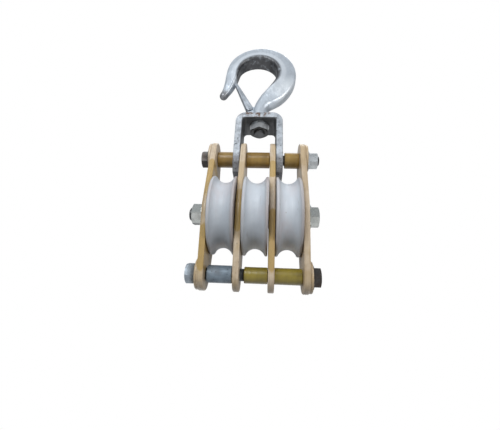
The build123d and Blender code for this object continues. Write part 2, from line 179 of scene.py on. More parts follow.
# %% Mottle
def make_mottle():
    tree, given, result = new_group(
        "mottle",
        {"Scale": 40.0, "Stretch": (1.0, 1.0, 1.0), "Low": 0.4, "High": 0.6, "Detail": 3.0, "Seed": 0.0},
        {"Mask": "NodeSocketFloat"},
    )
    where = add(tree, "ShaderNodeTexCoord", (-900, 300))
    stretch = add(tree, "ShaderNodeVectorMath", (-600, 200), operation="MULTIPLY")
    shift = add(tree, "ShaderNodeVectorMath", (-450, 200), operation="ADD")
    noise = add(tree, "ShaderNodeTexNoise", (-250, 200), Roughness=0.55)
    fade = add(tree, "ShaderNodeMapRange", (0, 200), interpolation_type="SMOOTHSTEP")
    links = tree.links
    links.new(where.outputs["Object"], stretch.inputs[0])
    links.new(given.outputs["Stretch"], stretch.inputs[1])
    links.new(stretch.outputs[0], shift.inputs[0])
    links.new(given.outputs["Seed"], shift.inputs[1])
    links.new(shift.outputs[0], noise.inputs["Vector"])
    links.new(given.outputs["Scale"], noise.inputs["Scale"])
    links.new(given.outputs["Detail"], noise.inputs["Detail"])
    links.new(noise.outputs[0], fade.inputs["Value"])
    links.new(given.outputs["Low"], fade.inputs["From Min"])
    links.new(given.outputs["High"], fade.inputs["From Max"])
    links.new(fade.outputs["Result"], result.inputs["Mask"])
    return tree


MOTTLE = make_mottle()


# %% Pits
def make_pits():
    tree, given, result = new_group(
        "pits",
        {"Scale": 300.0, "Size": 0.25, "Share": 0.5},
        {"Mask": "NodeSocketFloat"},
    )
    where = add(tree, "ShaderNodeTexCoord", (-900, 300))
    cells = add(tree, "ShaderNodeTexVoronoi", (-500, 200))
    spread = add(tree, "ShaderNodeTexNoise", (-500, -200), Detail=2.0)
    coarse = add(tree, "ShaderNodeMath", (-700, -200), operation="MULTIPLY")
    coarse.inputs[1].default_value = 0.12
    round_spot = add(tree, "ShaderNodeMapRange", (-200, 200), interpolation_type="SMOOTHSTEP")
    round_spot.inputs["To Min"].default_value = 1.0
    round_spot.inputs["To Max"].default_value = 0.0
    patch = add(tree, "ShaderNodeMapRange", (-200, -200), interpolation_type="SMOOTHSTEP")
    patch.inputs["From Max"].default_value = 0.65
    both = add(tree, "ShaderNodeMath", (200, 100), operation="MULTIPLY")
    links = tree.links
    links.new(where.outputs["Object"], cells.inputs["Vector"])
    links.new(where.outputs["Object"], spread.inputs["Vector"])
    links.new(given.outputs["Scale"], cells.inputs["Scale"])
    links.new(given.outputs["Scale"], coarse.inputs[0])
    links.new(coarse.outputs[0], spread.inputs["Scale"])
    links.new(cells.outputs["Distance"], round_spot.inputs["Value"])
    links.new(given.outputs["Size"], round_spot.inputs["From Max"])
    links.new(spread.outputs[0], patch.inputs["Value"])
    links.new(given.outputs["Share"], patch.inputs["From Min"])
    links.new(round_spot.outputs["Result"], both.inputs[0])
    links.new(patch.outputs["Result"], both.inputs[1])
    links.new(both.outputs[0], result.inputs["Mask"])
    return tree


PITS = make_pits()


# %% Near
def make_near():
    tree, given, result = new_group(
        "near",
        {
            "Place": (0.0, 0.0, 0.0),
            "Squash": (1.0, 1.0, 1.0),
            "Inner": 0.005,
            "Outer": 0.010,
            "Ragged": 0.0,
        },
        {"Mask": "NodeSocketFloat"},
    )
    where = add(tree, "ShaderNodeTexCoord", (-900, 300))
    apart = add(tree, "ShaderNodeVectorMath", (-600, 200), operation="SUBTRACT")
    shape = add(tree, "ShaderNodeVectorMath", (-450, 200), operation="MULTIPLY")
    far = add(tree, "ShaderNodeVectorMath", (-300, 200), operation="LENGTH")
    noise = add(tree, "ShaderNodeTexNoise", (-600, -200), Scale=75.0, Detail=5.0)
    ragged = add(tree, "ShaderNodeMath", (-300, -200), operation="MULTIPLY_ADD")
    fade = add(tree, "ShaderNodeMapRange", (0, 200), interpolation_type="SMOOTHSTEP")
    fade.inputs["To Min"].default_value = 1.0
    fade.inputs["To Max"].default_value = 0.0
    links = tree.links
    links.new(where.outputs["Object"], apart.inputs[0])
    links.new(given.outputs["Place"], apart.inputs[1])
    links.new(apart.outputs[0], shape.inputs[0])
    links.new(given.outputs["Squash"], shape.inputs[1])
    links.new(shape.outputs[0], far.inputs[0])
    links.new(where.outputs["Object"], noise.inputs["Vector"])
    links.new(noise.outputs[0], ragged.inputs[0])
    links.new(given.outputs["Ragged"], ragged.inputs[1])
    links.new(far.outputs["Value"], ragged.inputs[2])
    links.new(ragged.outputs[0], fade.inputs["Value"])
    links.new(given.outputs["Inner"], fade.inputs["From Min"])
    links.new(given.outputs["Outer"], fade.inputs["From Max"])
    links.new(fade.outputs["Result"], result.inputs["Mask"])
    return tree


NEAR = make_near()
print("groups:", [g.name for g in bpy.data.node_groups])


# %% [markdown]
# ## Starting a finish
#
# Each finish starts from one Principled shader. Colours are laid over each other through masks, as
# paint is, and the bump comes from the same masks, so that a dark pit is also a hollow one.


# %% Finish helpers
FAR = 1.0  # past every piece, so a layer of this reach has only one visible edge


def new_finish(name, metallic, roughness, coat=0.0, coat_roughness=0.1):
    """A material with a Principled shader, ready for its colours."""
    material = bpy.data.materials.new(name)
    material.use_nodes = True
    shader = material.node_tree.nodes["Principled BSDF"]
    shader.inputs["Metallic"].default_value = metallic
    shader.inputs["Roughness"].default_value = roughness
    shader.inputs["Coat Weight"].default_value = coat
    shader.inputs["Coat Roughness"].default_value = coat_roughness
    return material, material.node_tree, shader


def over(tree, below, colour, mask, strength=1.0):
    """Lays a colour over another one through a mask, and returns the colour socket."""
    mix = tree.nodes.new("ShaderNodeMix")
    mix.data_type = "RGBA"
    share = tree.nodes.new("ShaderNodeMath")
    share.operation = "MULTIPLY"
    share.inputs[1].default_value = strength
    tree.links.new(mask, share.inputs[0])
    tree.links.new(share.outputs[0], mix.inputs["Factor"])
    for socket, value in ((mix.inputs[6], below), (mix.inputs[7], colour)):
        if isinstance(value, tuple):
            socket.default_value = (*value, 1.0)
        else:
            tree.links.new(value, socket)
    return mix.outputs[2]


def level(tree, mask, low, high):
    """Turns a mask into a value between two levels."""
    spread = tree.nodes.new("ShaderNodeMapRange")
    spread.inputs["To Min"].default_value = low
    spread.inputs["To Max"].default_value = high
    tree.links.new(mask, spread.inputs["Value"])
    return spread.outputs["Result"]


def bump(tree, shader, heights, distance):
    """Joins height masks, each with its own share, into one Bump node on the shader."""
    total = None
    for mask, share in heights:
        part = tree.nodes.new("ShaderNodeMath")
        part.operation = "MULTIPLY_ADD" if total is not None else "MULTIPLY"
        part.inputs[1].default_value = share
        tree.links.new(mask, part.inputs[0])
        if total is not None:
            tree.links.new(total, part.inputs[2])
        total = part.outputs[0]
    relief = tree.nodes.new("ShaderNodeBump")
    relief.inputs["Distance"].default_value = distance
    relief.inputs["Strength"].default_value = 1.0
    tree.links.new(total, relief.inputs["Height"])
    tree.links.new(relief.outputs["Normal"], shader.inputs["Normal"])


def product(tree, first, second):
    """The product of two masks, which is one only where both are."""
    both = add(tree, "ShaderNodeMath", operation="MULTIPLY")
    tree.links.new(first, both.inputs[0])
    tree.links.new(second, both.inputs[1])
    return both.outputs[0]


def layer(tree, place, axis, reach, fade):
    """One within reach of a place along one axis, and nothing past the fade beyond it."""
    squash = tuple(float(i == "XYZ".index(axis)) for i in range(3))
    where = tuple(place * share for share in squash)
    return use(tree, NEAR, Place=where, Squash=squash, Inner=reach, Outer=reach + fade).outputs[0]


def under(tree, height, fade):
    """One under a height and nothing past the fade above it."""
    return layer(tree, height - FAR, "Z", FAR, fade)


def colour_in(tree, shader, colour):
    """Gives the shader its finished colour."""
    tree.links.new(colour, shader.inputs["Base Color"])


# %% [markdown]
# ## Laminate plates
#
# The plates are sawn from a board of glass cloth and resin. Their cut edges are a pale cream with
# the plies showing as fine lines, and brushed varnish has left yellow-brown patches with ragged
# ends. The lines run round the plate because they only depend on the place through its thickness,
# which is the X axis. Each patch is a plate, the height of its middle and half its length.


# %% Laminate
LEFT_PLATE = middle("side_plate_left").x
LEFT_DIVIDER, RIGHT_DIVIDER = middle("divider_plate_left").x, middle("divider_plate_right").x
PATCH_RADIUS = 0.006
VARNISH = (
    (LEFT_PLATE, AXLE.z + 0.034, 0.024),
    (LEFT_PLATE, AXLE.z - 0.042, 0.022),
    (LEFT_DIVIDER, AXLE.z - 0.003, 0.022),
    (RIGHT_DIVIDER, AXLE.z + 0.046, 0.011),
    (RIGHT_DIVIDER, AXLE.z - 0.033, 0.030),
)


def make_laminate():
    material, tree, shader = new_finish("laminate", 0.0, 0.42, coat=0.25, coat_roughness=0.25)
    varnish = use(tree, MOTTLE, Scale=15.0, Stretch=(1.2, 0.8, 1.0), Low=0.50, High=0.545, Seed=3.7)
    brown = use(tree, MOTTLE, Scale=34.0, Stretch=(1.0, 1.0, 0.6), Low=0.50, High=0.66, Seed=8.1)
    plies = use(tree, MOTTLE, Scale=900.0, Stretch=(1.0, 0.02, 0.02), Low=0.35, High=0.65, Detail=1.0)
    cloth = use(tree, MOTTLE, Scale=260.0, Low=0.3, High=0.7, Detail=4.0)
    specks = use(tree, PITS, Scale=230.0, Size=0.22, Share=0.52)
    colour = over(tree, (0.70, 0.575, 0.43), (0.56, 0.44, 0.305), cloth.outputs[0], 0.55)
    colour = over(tree, colour, (0.50, 0.34, 0.12), varnish.outputs[0], 0.35)
    for x, z, half in VARNISH:
        squash = (1, 0, PATCH_RADIUS / half)
        brushed = use(tree, NEAR, Place=(x, 0, z), Squash=squash, Inner=0.0074, Outer=0.0082, Ragged=0.0034)
        colour = over(tree, colour, (0.49, 0.32, 0.085), brushed.outputs[0], 0.85)
    colour = over(tree, colour, (0.34, 0.23, 0.11), brown.outputs[0], 0.40)
    colour = over(tree, colour, (0.42, 0.28, 0.13), plies.outputs[0], 0.30)
    colour = over(tree, colour, (0.14, 0.08, 0.04), specks.outputs[0], 0.55)
    colour_in(tree, shader, colour)
    tree.links.new(level(tree, varnish.outputs[0], 0.50, 0.30), shader.inputs["Roughness"])
    bump(tree, shader, [(plies.outputs[0], -0.5), (cloth.outputs[0], 0.5)], 0.0002)
    return material


LAMINATE = make_laminate()

# %% [markdown]
# ## Laminate tubes
#
# The spacers and sleeves are wound from the same cloth and dipped in varnish, so they are glossier
# and deeper in colour. Winding leaves faint rings round the tube. The upper ones have gone brown,
# and the lower ones are a greenish yellow.


# %% Tubes
def make_tube(name, light, deep, seed):
    material, tree, shader = new_finish(name, 0.0, 0.34, coat=0.22, coat_roughness=0.22)
    runs = use(tree, MOTTLE, Scale=70.0, Stretch=(0.6, 1.0, 1.0), Low=0.38, High=0.64, Seed=seed)
    rings = use(tree, MOTTLE, Scale=420.0, Stretch=(1.0, 0.05, 0.05), Low=0.35, High=0.65, Detail=2.0)
    dirt = use(tree, MOTTLE, Scale=45.0, Low=0.56, High=0.75, Detail=5.0, Seed=seed + 5.0)
    colour = over(tree, light, deep, runs.outputs[0], 0.8)
    colour = over(tree, colour, tuple(c * 0.6 for c in deep), rings.outputs[0], 0.12)
    colour = over(tree, colour, (0.10, 0.06, 0.03), dirt.outputs[0], 0.35)
    colour_in(tree, shader, colour)
    bump(tree, shader, [(rings.outputs[0], 0.6), (runs.outputs[0], 0.4)], 0.00015)
    return material


BROWN_TUBE = make_tube("brown_tube", (0.36, 0.22, 0.045), (0.23, 0.13, 0.02), 1.5)
YELLOW_TUBE = make_tube("yellow_tube", (0.31, 0.24, 0.032), (0.21, 0.16, 0.02), 4.5)

# %% [markdown]
# ## Nylon
#
# Cast nylon is turned on a lathe, which leaves fine rings round the axle. It is a cool white with
# a soft gloss. Its rims are painted brownish and darker, more on the right face than on the left,
# as painted shade and painted reflection of the plates beside them. The rings are noise that
# changes quickly along X and hardly at all across it.


# %% Nylon
# Reach and fade of the painted shade and painted reflection along each rim
RIM_SHADE_FULL = 0.0008
RIM_SHADE_FADE = 0.0047


def make_nylon():
    material, tree, shader = new_finish("nylon", 0.0, 0.44, coat=0.12, coat_roughness=0.3)
    shader.inputs["Specular IOR Level"].default_value = 0.4
    cloud = use(tree, MOTTLE, Scale=30.0, Stretch=(0.7, 1.0, 1.0), Low=0.35, High=0.70, Detail=4.0)
    scuffs = use(tree, MOTTLE, Scale=160.0, Stretch=(2.5, 0.4, 0.4), Low=0.60, High=0.72, Detail=5.0)
    rings = use(tree, MOTTLE, Scale=700.0, Stretch=(1.0, 0.03, 0.03), Low=0.3, High=0.7, Detail=1.0)
    blush = use(tree, MOTTLE, Scale=42.0, Stretch=(1.0, 1.0, 0.5), Low=0.46, High=0.68, Detail=3.0, Seed=9.0)
    specks = use(tree, PITS, Scale=150.0, Size=0.14, Share=0.50)
    colour = over(tree, (0.62, 0.665, 0.72), (0.49, 0.53, 0.58), cloud.outputs[0], 0.8)
    colour = over(tree, colour, (0.42, 0.40, 0.41), scuffs.outputs[0], 0.35)
    colour = over(tree, colour, (0.62, 0.55, 0.56), blush.outputs[0], 0.40)
    colour = over(tree, colour, (0.24, 0.18, 0.16), specks.outputs[0], 0.8)
    # Painted shade and painted reflection of the plates: each rim is painted brownish, more on its right
    # face.
    for side in ("left", "middle", "right"):
        for rim, share in zip(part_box(f"sheave_{side}"), (0.25, 0.60)):
            rim_shade = layer(tree, rim.x, "X", RIM_SHADE_FULL, RIM_SHADE_FADE)
            colour = over(tree, colour, (0.34, 0.27, 0.24), rim_shade, share)
    colour_in(tree, shader, colour)
    bump(tree, shader, [(rings.outputs[0], 0.7), (scuffs.outputs[0], -0.5)], 0.00010)
    return material


NYLON = make_nylon()

# %% [markdown]
# ## Hot-dip galvanising
#
# Molten zinc freezes on rough rolled steel as a blotchy blue-grey skin with small dark pits, and
# the strap's bends have lost some of it to rust. The crown's underside between the legs, and the
# hook's stem below it, are painted near black as painted shade, and the legs are painted darker
# below the top bolt as painted shade. The hook is a smoother forging, so its skin is brighter. It
# has painted shade inside the bowl, a painted highlight on the back of the bowl, a painted
# highlight band just outside the shaded throat, and a bare dark tip.


# %% Galvanised strap
def make_strap_zinc():
    material, tree, shader = new_finish("strap_zinc", 0.55, 0.50)
    cloud = use(tree, MOTTLE, Scale=110.0, Low=0.35, High=0.66, Detail=6.0)
    fine = use(tree, MOTTLE, Scale=520.0, Low=0.35, High=0.65, Detail=4.0)
    pits = use(tree, PITS, Scale=300.0, Size=0.38, Share=0.36)
    big_pits = use(tree, PITS, Scale=140.0, Size=0.26, Share=0.46)
    bend = (-0.004, -0.018, CROWN_TOP - 0.002)
    crown = use(tree, NEAR, Place=bend, Squash=(0.55, 0.6, 1.6), Inner=0.004, Outer=0.015)
    rust_spots = use(tree, MOTTLE, Scale=240.0, Low=0.50, High=0.60, Detail=6.0)
    rust = product(tree, crown.outputs[0], rust_spots.outputs[0])
    # Painted shade: the crown's underside between the legs is painted near black.
    painted_yoke_shade = product(tree, layer(tree, 0, "X", WINDOW_HALF, 0.0004), under(tree, CROWN_UNDER, 0.0004))
    colour = over(tree, (0.50, 0.54, 0.59), (0.25, 0.27, 0.30), cloud.outputs[0], 0.85)
    colour = over(tree, colour, (0.60, 0.63, 0.67), fine.outputs[0], 0.35)
    colour = over(tree, colour, (0.04, 0.036, 0.036), pits.outputs[0], 0.95)
    colour = over(tree, colour, (0.06, 0.05, 0.05), big_pits.outputs[0], 0.8)
    colour = over(tree, colour, (0.13, 0.065, 0.035), rust, 0.95)
    # Painted shade: the legs are painted darker below the top bolt.
    colour = over(tree, colour, (0.10, 0.085, 0.08), under(tree, TOP_BOLT.z - 0.010, 0.010), 0.60)
    colour = over(tree, colour, (0.075, 0.075, 0.078), painted_yoke_shade, 0.85)
    colour_in(tree, shader, colour)
    tree.links.new(level(tree, cloud.outputs[0], 0.42, 0.62), shader.inputs["Roughness"])
    tree.links.new(level(tree, rust, 0.55, 0.05), shader.inputs["Metallic"])
    heights = [
        (fine.outputs[0], 0.5),
        (cloud.outputs[0], 0.4),
        (pits.outputs[0], -0.8),
        (big_pits.outputs[0], -0.8),
    ]
    bump(tree, shader, heights, 0.0004)
    return material


# %% Galvanised hook
BOWL_MIDDLE = Vector(((HOOK_LOW.x + HOOK_HIGH.x) / 2, 0, -0.0255))
HOOK_TIP = Vector((HOOK_LOW.x + 0.005, 0, -0.0605))
HOOK_BACK = Vector((HOOK_HIGH.x - 0.012, 0, -0.056))


def make_hook_zinc():
    material, tree, shader = new_finish("hook_zinc", 0.60, 0.42)
    cloud = use(tree, MOTTLE, Scale=55.0, Low=0.34, High=0.68, Detail=5.0, Seed=2.2)
    streaks = use(tree, MOTTLE, Scale=170.0, Stretch=(1.0, 1.0, 0.5), Low=0.42, High=0.70, Detail=5.0)
    pits = use(tree, PITS, Scale=210.0, Size=0.26, Share=0.46)
    flat = (1.0, 0.0, 1.0)
    throat = use(tree, NEAR, Place=BOWL_MIDDLE, Squash=flat, Inner=0.0285, Outer=0.0325)
    wide = use(tree, NEAR, Place=BOWL_MIDDLE, Squash=flat, Inner=0.0355, Outer=0.0395)
    # Painted shade in the hook's throat, broken up by a mottle.
    bowl_shade_mottle = use(tree, MOTTLE, Scale=130.0, Low=0.10, High=0.50, Detail=6.0)
    painted_bowl_shade = product(tree, throat.outputs[0], bowl_shade_mottle.outputs[0])
    # Painted highlight: a bright band just outside the shaded throat.
    painted_edge_highlight = add(tree, "ShaderNodeMath", operation="SUBTRACT")
    tree.links.new(wide.outputs[0], painted_edge_highlight.inputs[0])
    tree.links.new(throat.outputs[0], painted_edge_highlight.inputs[1])
    tip = use(tree, NEAR, Place=HOOK_TIP, Inner=0.003, Outer=0.012)
    # Painted highlight on the back of the bowl.
    painted_back_highlight = use(tree, NEAR, Place=HOOK_BACK, Inner=0.010, Outer=0.030)
    colour = over(tree, (0.60, 0.66, 0.73), (0.50, 0.55, 0.61), cloud.outputs[0], 0.8)
    colour = over(tree, colour, (0.38, 0.41, 0.45), streaks.outputs[0], 0.45)
    colour = over(tree, colour, (0.16, 0.15, 0.15), pits.outputs[0], 0.6)
    colour = over(tree, colour, (0.86, 0.91, 0.96), painted_back_highlight.outputs[0], 0.8)
    colour = over(tree, colour, (0.74, 0.79, 0.85), painted_edge_highlight.outputs[0], 0.75)
    colour = over(tree, colour, (0.05, 0.048, 0.05), painted_bowl_shade, 0.92)
    # Painted shade: the hook's stem below the crown is painted near black.
    colour = over(tree, colour, (0.06, 0.06, 0.062), under(tree, CROWN_UNDER, 0.001), 0.9)
    colour = over(tree, colour, (0.12, 0.105, 0.10), tip.outputs[0], 0.8)
    colour_in(tree, shader, colour)
    tree.links.new(level(tree, streaks.outputs[0], 0.34, 0.50), shader.inputs["Roughness"])
    heights = [(cloud.outputs[0], 0.5), (streaks.outputs[0], 0.3), (pits.outputs[0], -0.5)]
    bump(tree, shader, heights, 0.0004)
    return material


STRAP_ZINC = make_strap_zinc()
HOOK_ZINC = make_hook_zinc()

# %% [markdown]
# ## Bolts, nuts and pipe
#
# The fasteners have black oxide that is brown where it has been handled, bright zinc, or zinc that
# has aged to a bluish grey. The hook nut, in the shade inside the yoke, has a duller and darker copy
# of the nut zinc as painted shade. One function makes them all, because only the colours, the gloss
# and the staining differ. A table gives each finish its light, dark and stain colours, then how
# metallic and rough it is, and how strong its stains and pits are. A second table places the dark
# stretches that three of them have: the bare axle end and bottom shank, and painted shade on the
# nut's underside.


# %% Fastener finishes
def make_steel(name, light, dark, stain, metallic, roughness, stain_share, pit_share, bare_end_and_shade):
    """A steel finish, with a dark layer where bare_end_and_shade gives its place, axis and reach."""
    material, tree, shader = new_finish(name, metallic, roughness)
    cloud = use(tree, MOTTLE, Scale=130.0, Low=0.36, High=0.66, Detail=5.0)
    stains = use(tree, MOTTLE, Scale=75.0, Low=0.50, High=0.70, Detail=6.0, Seed=6.0)
    scratches = use(tree, MOTTLE, Scale=600.0, Stretch=(0.15, 1.0, 1.0), Low=0.4, High=0.7, Detail=3.0)
    pits = use(tree, PITS, Scale=260.0, Size=0.30, Share=0.44)
    colour = over(tree, light, dark, cloud.outputs[0], 0.8)
    colour = over(tree, colour, stain, stains.outputs[0], stain_share)
    colour = over(tree, colour, tuple(c * 0.25 for c in dark), pits.outputs[0], pit_share)
    if bare_end_and_shade is not None:
        place, axis, reach = bare_end_and_shade
        colour = over(tree, colour, (0.03, 0.03, 0.03), layer(tree, place, axis, reach, 0.0003), 0.9)
    colour_in(tree, shader, colour)
    gloss = level(tree, cloud.outputs[0], roughness - 0.06, roughness + 0.12)
    tree.links.new(gloss, shader.inputs["Roughness"])
    heights = [(cloud.outputs[0], 0.4), (scratches.outputs[0], 0.3), (pits.outputs[0], -0.6)]
    bump(tree, shader, heights, 0.00015)
    return material


AXLE_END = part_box("axle_bolt")[0].x
BARE_ENDS_AND_SHADE = {
    "axle_steel": (AXLE_END, "X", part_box("axle_nut")[0].x - AXLE_END),
    "grey_zinc": (FAR - DISC_FACE, "X", FAR),
    # The hook nut's underside is painted near black as painted shade.
    "shaded_hook_nut": (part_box("hook_nut")[0].z - FAR, "Z", FAR + 0.0006),
}
STEELS = {
    "black_steel": ((0.055, 0.052, 0.050), (0.024, 0.022, 0.021), (0.065, 0.040, 0.03), 0.6, 0.36, 0.5, 0.5),
    "bright_zinc": ((0.46, 0.48, 0.47), (0.32, 0.34, 0.33), (0.34, 0.33, 0.31), 0.95, 0.24, 0.35, 0.2),
    "grey_zinc": ((0.38, 0.44, 0.50), (0.27, 0.31, 0.36), (0.16, 0.16, 0.17), 0.45, 0.45, 0.4, 0.4),
    # A duller, darker copy of nut_zinc for the hook nut, as painted shade inside the yoke.
    "shaded_hook_nut": ((0.50, 0.52, 0.54), (0.34, 0.355, 0.37), (0.12, 0.12, 0.12), 0.55, 0.38, 0.4, 0.3),
    "nut_zinc": ((0.56, 0.59, 0.61), (0.40, 0.42, 0.44), (0.20, 0.19, 0.18), 0.85, 0.32, 0.4, 0.3),
    "pipe_zinc": ((0.22, 0.28, 0.34), (0.16, 0.20, 0.245), (0.14, 0.15, 0.165), 0.25, 0.5, 0.5, 0.9),
    "latch_zinc": ((0.44, 0.48, 0.53), (0.31, 0.34, 0.38), (0.16, 0.165, 0.18), 0.4, 0.45, 0.4, 0.3),
    "spring_steel": ((0.25, 0.25, 0.26), (0.14, 0.14, 0.15), (0.10, 0.07, 0.05), 0.9, 0.3, 0.5, 0.5),
    "bronze": ((0.48, 0.31, 0.13), (0.30, 0.18, 0.07), (0.12, 0.08, 0.05), 0.9, 0.35, 0.5, 0.5),
}
STEELS["axle_steel"] = STEELS["bright_zinc"]
steels = {name: make_steel(name, *values, BARE_ENDS_AND_SHADE.get(name)) for name, values in STEELS.items()}
BLACK_STEEL = steels["black_steel"]
GREY_ZINC = steels["grey_zinc"]
LATCH_ZINC = steels["latch_zinc"]
SPRING_STEEL = steels["spring_steel"]
print("finishes:", len(bpy.data.materials))

# %% [markdown]
# ## Giving each solid its finish
#
# Only the material in a solid's slot changes here, and a short table says which finish each kind of
# piece has.

# %% Assign the finishes
FINISHES = {
    LAMINATE: ("side_plate", "divider_plate", "top_end_disc", "bottom_end_disc"),
    BROWN_TUBE: ("top_spacer",),
    YELLOW_TUBE: ("bottom_sleeve_middle", "bottom_sleeve_right"),
    steels["pipe_zinc"]: ("bottom_sleeve_left",),
    NYLON: ("sheave",),
    steels["bronze"]: ("bush", "thrust_washers"),
    STRAP_ZINC: ("yoke",),
    HOOK_ZINC: ("hook",),
    LATCH_ZINC: ("latch", "latch_pin"),
    SPRING_STEEL: ("latch_spring",),
    BLACK_STEEL: ("top_bolt", "top_washer_left", "bottom_nut", "bottom_washer"),
    steels["bright_zinc"]: ("axle_nut", "axle_washer"),
    steels["axle_steel"]: ("axle_bolt",),
    steels["shaded_hook_nut"]: ("hook_nut",),
    GREY_ZINC: ("bottom_bolt",),
    steels["nut_zinc"]: ("top_nut", "top_washer_right", "swivel_washer"),
}


def finish_of(node):
    """The finish whose name in the table matches the most of the node's name."""
    fits = [
        (len(start), finish)
        for finish, starts in FINISHES.items()
        for start in starts
        if node.startswith(start)
    ]
    return max(fits, key=lambda fit: fit[0])[1]


for name, node in nodes.items():
    node.data.materials.clear()
    node.data.materials.append(finish_of(name))

# %% [markdown]
# ## Threads
#
# A thread is one ridge wound round the bolt, so it is a spiral curve with a three-sided profile.
# Geometry Nodes can make it for any bolt from four sizes. The result is turned into a plain mesh,
# which then rides with the bolt's body.


# %% Mesh helpers
def placed(name, mesh):
    """An object for a mesh, put in the scene at the origin."""
    piece = bpy.data.objects.new(name, mesh)
    bpy.context.scene.collection.objects.link(piece)
    return piece


def outward(mesh, change=None):
    """Turns a mesh's faces outwards, after a change to it where one is given."""
    work = bmesh.new()
    work.from_mesh(mesh)
    if change is not None:
        change(work)
    bmesh.ops.recalc_face_normals(work, faces=work.faces)
    work.to_mesh(mesh)
    work.free()


# %% The thread tree
def make_thread_tree():
    tree = bpy.data.node_groups.new("thread", "GeometryNodeTree")
    face = tree.interface
    face.new_socket("Geometry", in_out="OUTPUT", socket_type="NodeSocketGeometry")
    for label, kind, value in (
        ("Radius", "NodeSocketFloat", 0.006),
        ("Pitch", "NodeSocketFloat", 0.00175),
        ("Length", "NodeSocketFloat", 0.003),
        ("Ridge", "NodeSocketFloat", 0.0006),
        ("Place", "NodeSocketVector", (0.0, 0.0, 0.0)),
        ("Turn", "NodeSocketVector", (0.0, 0.0, 0.0)),
        ("Finish", "NodeSocketMaterial", None),
    ):
        socket = face.new_socket(label, in_out="INPUT", socket_type=kind)
        if value is not None:
            socket.default_value = value
    given = add(tree, "NodeGroupInput", (-800, 0))
    turns = add(tree, "ShaderNodeMath", (-600, 100), operation="DIVIDE")
    spiral = add(tree, "GeometryNodeCurveSpiral", (-400, 100))
    spiral.inputs["Resolution"].default_value = 40
    profile = add(tree, "GeometryNodeCurvePrimitiveCircle", (-400, -200))
    profile.inputs["Resolution"].default_value = 3
    sweep = add(tree, "GeometryNodeCurveToMesh", (-200, 0))
    sweep.inputs["Fill Caps"].default_value = True
    place = add(tree, "GeometryNodeTransform", (0, 0))
    real = add(tree, "GeometryNodeRealizeInstances", (200, 0))
    coat = add(tree, "GeometryNodeSetMaterial", (350, 0))
    result = add(tree, "NodeGroupOutput", (500, 0))
    links = tree.links
    links.new(given.outputs["Length"], turns.inputs[0])
    links.new(given.outputs["Pitch"], turns.inputs[1])
    links.new(turns.outputs[0], spiral.inputs["Rotations"])
    links.new(given.outputs["Radius"], spiral.inputs["Start Radius"])
    links.new(given.outputs["Radius"], spiral.inputs["End Radius"])
    links.new(given.outputs["Length"], spiral.inputs["Height"])
    links.new(given.outputs["Ridge"], profile.inputs["Radius"])
    links.new(spiral.outputs["Curve"], sweep.inputs["Curve"])
    links.new(profile.outputs["Curve"], sweep.inputs["Profile Curve"])
    links.new(sweep.outputs["Mesh"], place.inputs["Geometry"])
    links.new(given.outputs["Place"], place.inputs["Translation"])
    links.new(given.outputs["Turn"], place.inputs["Rotation"])
    links.new(place.outputs["Geometry"], real.inputs["Geometry"])
    links.new(real.outputs["Geometry"], coat.inputs["Geometry"])
    links.new(given.outputs["Finish"], coat.inputs["Material"])
    links.new(coat.outputs["Geometry"], result.inputs["Geometry"])
    return tree


THREAD = make_thread_tree()


# %% Cut the threads
def grown(name, tree, values):
    """Runs a geometry tree and returns its result as an object with a plain mesh."""
    carrier = bpy.data.objects.new(name + "_carrier", bpy.data.meshes.new(name))
    bpy.context.scene.collection.objects.link(carrier)
    modifier = carrier.modifiers.new("grow", "NODES")
    modifier.node_group = tree
    for item in tree.interface.items_tree:
        if item.in_out == "INPUT" and item.name in values:
            modifier[item.identifier] = values[item.name]
    evaluated = carrier.evaluated_get(bpy.context.evaluated_depsgraph_get())
    mesh = bpy.data.meshes.new_from_object(evaluated)
    carrier.modifiers.remove(modifier)
    bpy.data.objects.remove(carrier)
    return placed(name, mesh)


M12 = (0.0060, 0.00175)  # radius and pitch
M14 = (0.0070, 0.002)
CORE_DEPTH, END_GAP, RIDGE = 0.16, 0.5, 0.34  # as shares of the pitch


def cut_thread(name, bolt, nut, body, finish, slot, way, radius, pitch):
    """A thread on the stretch of bolt that stands out past its nut, along +X, -X or -Z."""
    bolt_low, bolt_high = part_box(bolt)
    nut_low, nut_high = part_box(nut)
    place = middle(nut)
    if way == "right":
        length, rotation = bolt_high.x - nut_high.x, (0, math.pi / 2, 0)
        place.x = nut_high.x
    elif way == "left":
        length, rotation = nut_low.x - bolt_low.x, (0, -math.pi / 2, 0)
        place.x = nut_low.x
    else:
        length, rotation = nut_low.z - bolt_low.z, (math.pi, 0, 0)
        place = Vector((0, 0, nut_low.z))
    values = {
        "Radius": radius - pitch * CORE_DEPTH,
        "Pitch": pitch,
        "Length": length - pitch * END_GAP,
        "Ridge": pitch * RIDGE,
        "Place": place,
        "Turn": rotation,
        "Finish": finish,
    }
    piece = grown(name, THREAD, values)
    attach(piece, body)
    print(name, "length", round(length, 4), "faces", len(piece.data.polygons))


cut_thread("top_thread", "top_bolt", "top_nut", "block", BLACK_STEEL, "black_steel", "right", *M12)
cut_thread("axle_thread", "axle_bolt", "axle_nut", "block", BLACK_STEEL, "black_steel", "left", *M14)
cut_thread("stem_thread", "hook", "hook_nut", "hook", BLACK_STEEL, "black_steel", "down", *M14)

# %% [markdown]
# ## The sheaves
#
# A sheave is turned on a lathe, so one outline swept round the axle gives it whole. The groove is
# a wide round hollow that runs into rounded lips with hardly any flat between lip and side. Each
# stretch of the outline is an arc, and the arcs meet smoothly because their centres are worked out
# from each other.

